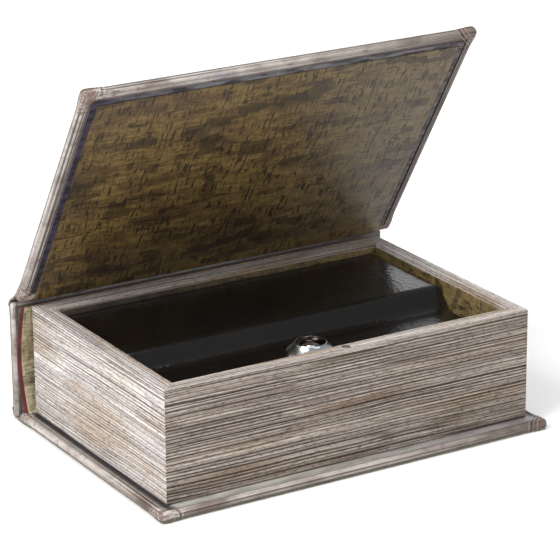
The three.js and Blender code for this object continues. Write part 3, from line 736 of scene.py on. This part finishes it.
def paper_strip(points, thick):
    """A strip of covering paper that follows a section curve along the spine. It bears the outer print,
    except at the very end that shows on the left."""
    left, right, columns, steps = -SIDE, SIDE - 2.5 * MM, 46, 20
    path = list(curve(points, steps))

    def place(across, up):
        ripple = 0.12 * MM * math.sin((across - 0.5) * 31) * math.sin(up * math.pi)
        spot = path[round(up * steps)]
        return Vector((left + across * (right - left), spot.y + ripple, spot.z + ripple))

    strip = bent_sheet(columns, steps, thick, place)
    outer_face = strip.verts.layers.float.new("outer_face")
    for v in strip.verts:
        v[outer_face] = 1.0 if v.co.x > left + 1.6 * MM else 0.0
    return strip


def joint_strips():
    """Covering paper across both folds of the case; each bends with its joint."""
    upper = paper_strip([(59.75, 58.1), (61.6, 55.2), (67.55, 54.2), (67.5, 50.0)], 0.7 * MM)
    piece = finished("upper_joint_paper", upper, "cover", ["upper_joint_strip"])
    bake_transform(piece, "spine", "front_cover", start=mm(0, 67.2, 52.0), end=mm(0, 60.9, 56.6))
    lower = paper_strip([(59.2, 0.3), (66.6, 0.3), (67.55, 0.6), (67.55, 4.6)], 0.5 * MM)
    piece = finished("lower_joint_paper", lower, "cover", ["lower_joint_strip"])
    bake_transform(piece, "base", "spine", start=mm(0, 64.6, 0.3), end=mm(0, 67.5, 2.6))


# ---- the page block and its papers ----

def page_walls():
    """Four walls that meet on mitres, their outer edges a little rounded."""
    boxes = {side: corners(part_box(f"page_block_{side}")) for side in ("front", "right", "back", "left")}
    low, high = boxes["left"][0].copy(), boxes["right"][1].copy()
    low.y, high.y = boxes["front"][0].y, boxes["back"][1].y
    inside_low = Vector((boxes["left"][1].x, boxes["front"][1].y, 0))
    inside_high = Vector((boxes["right"][0].x, boxes["back"][0].y, 0))
    middle = (low + high) / 2
    for side, (a, b) in boxes.items():
        along = 0 if side in ("front", "back") else 1
        a[along], b[along] = low[along], high[along]
        wall = block(a, b, 0.35 * MM, 4)
        for end in (-1, 1):
            outer, inner = Vector((0, 0, 0)), Vector((0, 0, 0))
            for axis in (0, 1):
                far = end if axis == along else (1 if (a[axis] + b[axis]) / 2 > middle[axis] else -1)
                outer[axis] = high[axis] if far > 0 else low[axis]
                inner[axis] = inside_high[axis] if far > 0 else inside_low[axis]
            mitre = (outer - inner).cross(Vector((0, 0, 1)))
            mitre *= math.copysign(1, mitre[along] * end)
            cut_off(wall, outer, -mitre, True)
        finished(f"{side}_pages", wall, "front_pages" if along == 0 else "end_pages",
                 [f"page_block_{side}"], "base")


def linings():
    """Lining cards that stop short of the rim, and the block's floor."""
    below_rim = 1.2 * MM
    for side in ("front", "back", "left", "right"):
        low, high = corners(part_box(f"lining_{side}"))
        high.z -= below_rim
        finished(f"{side}_lining_card", block(low, high, 0.2 * MM, 3), "lining", [f"lining_{side}"], "base")
    low, high = corners(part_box("page_block_floor"))
    finished("block_floor", block(low, high, 0.3 * MM, 2), "board", ["page_block_floor"], "base")


def endpaper():
    """The endpaper, pasted down on the cover's inner face from near the fore-edge to the fold."""
    half, front, fold, thick = 85 * MM, -117.4 * MM, -0.6 * MM, 0.3 * MM
    low = Vector((-half, front, COVER_UNDER - thick - 0.1 * MM))
    high = Vector((half, fold, COVER_UNDER + 0.05 * MM))
    sheet = block(low, high, 0.09 * MM, 2)
    bmesh.ops.transform(sheet, matrix=COVER_TURN, verts=sheet.verts)
    finished("endpaper", sheet, "endpaper", ["front_endpaper"], "front_cover")


def bowed_sheet(name, node, finish, lean, ends):
    """A sheet inside the spine that bows back towards it, from close behind the page block at its upper
    and lower edge. lean ripples its free ends, and ends is the gap to the block."""
    low, high = corners(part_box(node))
    low.z, high.z, high.x = low.z - 1.6 * MM, high.z + 0.6 * MM, 86 * MM
    thick = 0.3 * MM
    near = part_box("page_block_back")[1][1] + ends
    bow = high.y - thick - near

    def place(across, up):
        ripple = lean * math.sin(up * 9 + (across - 0.5) * 5) * abs(2 * across - 1) ** 6
        return Vector((low.x + across * (high.x - low.x),
                       near + bow * abs(math.sin(math.pi * up)) ** 0.8 + ripple,
                       low.z + up * (high.z - low.z)))

    finished(name, bent_sheet(60, 24, thick, place), finish, [node], "spine")


def spine_sheets():
    bowed_sheet("spine_lining_paper", "spine_lining", "spine_lining", 0.2 * MM, 0.3 * MM)
    bowed_sheet("spine_cloth", "spine_hinge_cloth", "cloth", 0.1 * MM, 0.75 * MM)


# ---- the strongbox ----

SHEET = 1.2                 # the steel's thickness, in mm
# The lid's S-shaped step, in mm, with its slope in degrees: crest and foot are the radii of its bends.
STEP = {"height": 8, "start": -3.0, "slope": 50.0, "crest": 5.0, "foot": 7.0}


def step_path(plateau, ledge):
    """(y, z) in mm along the lid's step, from the plateau down to the ledge."""
    slope = math.radians(STEP["slope"])
    fall = plateau - ledge - (STEP["crest"] + STEP["foot"]) * (1 - math.cos(slope))
    run = fall / math.tan(slope)
    turns = [slope * i / 8 for i in range(9)]
    crest = [(STEP["start"] - STEP["crest"] * math.sin(t), plateau - STEP["crest"] * (1 - math.cos(t)))
             for t in turns]
    end = crest[-1][0] - run - STEP["foot"] * math.sin(slope)
    foot = [(end + STEP["foot"] * math.sin(t), ledge + STEP["foot"] * (1 - math.cos(t)))
            for t in reversed(turns)]
    return crest + foot


def steel_lid():
    """Pressed sheet: a plateau, an S-shaped step and a ledge, bent down at both sides and in front."""
    low, high = (Vector(corner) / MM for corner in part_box("steel_lid"))
    plateau, ledge = high.z, high.z - STEP["height"]
    edge, skirt, nose = 4.0, 4.0, 2.2       # radius at the sides, height below it, radius in front
    rows = [(y, z, 0.0) for y, z in [(high.y, plateau), (high.y - 20, plateau), *step_path(plateau, ledge),
                                     (-30, ledge), (low.y + nose, ledge)]]
    for i in range(1, 7):
        turn = math.pi / 2 * i / 6
        rows.append((low.y + nose * (1 - math.sin(turn)), ledge, nose * (1 - math.cos(turn))))
    rows.append((low.y, ledge, edge + skirt))
    turns = [math.pi / 2 * i / 8 for i in range(9)]
    side = [(edge * (1 - math.sin(t)), edge * (1 - math.cos(t))) for t in turns] + [(0.0, edge + skirt)]
    left = [(low.x + inset, drop) for inset, drop in reversed(side)]
    right = [(high.x - inset, drop) for inset, drop in side]
    flat = [(low.x + edge + (high.x - low.x - 2 * edge) * i / 8, 0.0) for i in range(1, 8)]
    stations = left + flat + right

    def place(across, up):
        x, side_drop = stations[round(across * (len(stations) - 1))]
        y, z, front_drop = rows[round((1 - up) * (len(rows) - 1))]
        return mm(x, y, z - max(side_drop, front_drop))

    lid = bent_sheet(len(stations) - 1, len(rows) - 1, SHEET * MM, place)
    finished("strongbox_lid", lid, "enamel", ["steel_lid"], "steel_lid", 40)


def lock_cap():
    """A flared skirt up to a rolled rim, and a deep dish with a hole for the plug. Gives its axis."""
    centre, base, top, foot = round_place(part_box("lock_cap"))
    rim, crown, hole = 6.45, top - 0.3, 4.1
    cap = lathe([(0, base), (foot - 0.3, base), *arc(foot - 0.3, base + 0.3, 0.3, -60, 60, 4),
                 (foot - 0.35, base + 1.2), *arc(foot - 1.0, base + 1.4, 0.6, 0, 50, 4),
                 (rim + 1.5, base + 3.3), (rim + 0.6, crown - 0.75),
                 *arc(rim, crown - 0.4, 0.4, 10, 170, 10), (rim - 0.55, crown - 0.9),
                 (rim - 1.2, crown - 1.6), (4.5, crown - 1.95), (hole, crown - 2.0),
                 (hole, crown - 3.0), (0, crown - 3.0)], centre)
    cap = carve(cap, rod(hole, base - 30, top + 5, centre))
    piece = finished("lock_face", cap, "chrome", ["lock_cap"], "steel_lid", 30)
    # the dish inside the rim takes the chrome with a painted dark reflection
    piece.data.materials.append(FINISHES["dish"])
    for face in piece.data.polygons:
        out = math.hypot(face.center.x - centre.x, face.center.y - centre.y)
        if out < (rim - 0.25) * MM and face.center.z > (base + 1) * MM:
            face.material_index = 1
    return centre


def lock_plug(centre):
    """The plug that the key turns: it lies low in the dish, with a raised ring, a keyway through it and
    slots for the wafers."""
    tail, head = (corner[2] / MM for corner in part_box("lock_plug"))
    face = head - 0.9
    plug = lathe([(0, tail), (2.6, tail), (3.7, tail + 2.2), (3.7, face - 0.3),
                  *arc(3.5, face - 0.2, 0.2, 0, 80, 4), (2.5, face + 0.02), (2.35, face + 0.3),
                  *arc(1.9, face + 0.25, 0.4, 10, 80, 5), (0.9, face + 0.78), (0, face + 0.85)], centre)
    slots = [block(centre + mm(-0.45, -1.9, face - 4), centre + mm(0.45, 1.9, face + 2))]
    room = mm(0.15, 1.5, 0.2)       # for a wafer to slide in
    for i in range(1, 5):
        low, high = corners(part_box(f"wafer_{i}"))
        slots.append(block(low - room, high + room))
    finished("lock_core", carve(plug, *slots), "satin", ["lock_plug"], "lock_plug", 30)


def lock_barrel(centre):
    """The threaded barrel, bored for the plug and grooved where the wafers reach out."""
    low, high = (corner[2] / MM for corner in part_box("lock_housing"))
    radius, root, turns = 5.9, 5.45, int(high - low - 4)
    threads = [point for i in range(turns) for point in ((radius, low + i + 0.1), (root, low + i + 0.6))]
    barrel = lathe([(0, low), *threads, (radius, low + turns), (radius, high), (0, high)], centre, 64)
    hollows = [rod(3.85, low - 1, high + 1, centre), *crossed_bars(2.3, 4.6, low - 1, high + 1, centre)]
    finished("lock_barrel", carve(barrel, *hollows), "zinc", ["lock_housing"], "steel_lid", 30)


def lock_nut(centre):
    low, high = (corner[2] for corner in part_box("lock_nut"))
    nut = bmesh.new()
    bmesh.ops.create_cone(nut, cap_ends=True, segments=6, radius1=9 * MM, radius2=9 * MM, depth=high - low)
    bmesh.ops.translate(nut, vec=Vector((centre.x, centre.y, (low + high) / 2)), verts=nut.verts)
    ease_edges(nut, 0.35 * MM, 3)
    finished("barrel_nut", nut, "zinc", ["lock_nut"], "steel_lid", 30)


def rim_magnet():
    """A nickelled disc let into the rim, slightly domed."""
    centre, bottom, top, radius = round_place(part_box("rim_magnet"))
    radius -= 0.1
    disc = lathe([(0, bottom), (radius, bottom), (radius, top - 0.2),
                  *arc(radius - 0.3, top - 0.15, 0.3, 0, 75), (radius * 0.5, top + 0.17),
                  (0, top + 0.18)], centre, 48)
    finished("magnet_button", disc, "magnet", ["rim_magnet"], "base", 40)


def tray_screws():
    """Pan-headed screws with a cross slot."""
    for i in range(1, 5):
        centre, bottom, top, _ = round_place(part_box(f"tray_screw_{i}"))
        seat = top - 1.4
        screw = lathe([(0, bottom), (1.5, bottom + 1.5), (1.5, seat), (3.1, seat), (3.2, seat + 0.35),
                       *arc(1.9, seat + 0.2, 1.25, 10, 80), (0, top + 0.05)], centre, 40)
        screw = carve(screw, *crossed_bars(1.7, 0.35, top - 0.8, top + 1, centre))
        finished(f"pan_screw_{i}", screw, "zinc", [f"tray_screw_{i}"], "base", 30)


def carried_over():
    """CAD pieces whose shape is right keep it, and take their finish here."""
    for finish, nodes in {
        "enamel": ["strongbox_tray", "strike_lip", "hinge_bracket_left", "hinge_bracket_right",
                   "hinge_leaf_left", "hinge_leaf_right"],
        "zinc": ["hinge_pin_left", "hinge_pin_right", "spur_washer", "lock_cam", "cam_screw", "cover_keeper"],
        "brass": ["wafer_1", "wafer_2", "wafer_3", "wafer_4"],
    }.items():
        for node in nodes:
            mesh = frame["nodes"][node].data
            mesh.materials.clear()
            mesh.materials.append(FINISHES[finish])


set_camera()
set_studio()
back_cover()
front_cover()
spine()
joint_strips()
page_walls()
linings()
endpaper()
spine_sheets()
steel_lid()
lock_axis = lock_cap()
lock_plug(lock_axis)
lock_barrel(lock_axis)
lock_nut(lock_axis)
rim_magnet()
tray_screws()
carried_over()
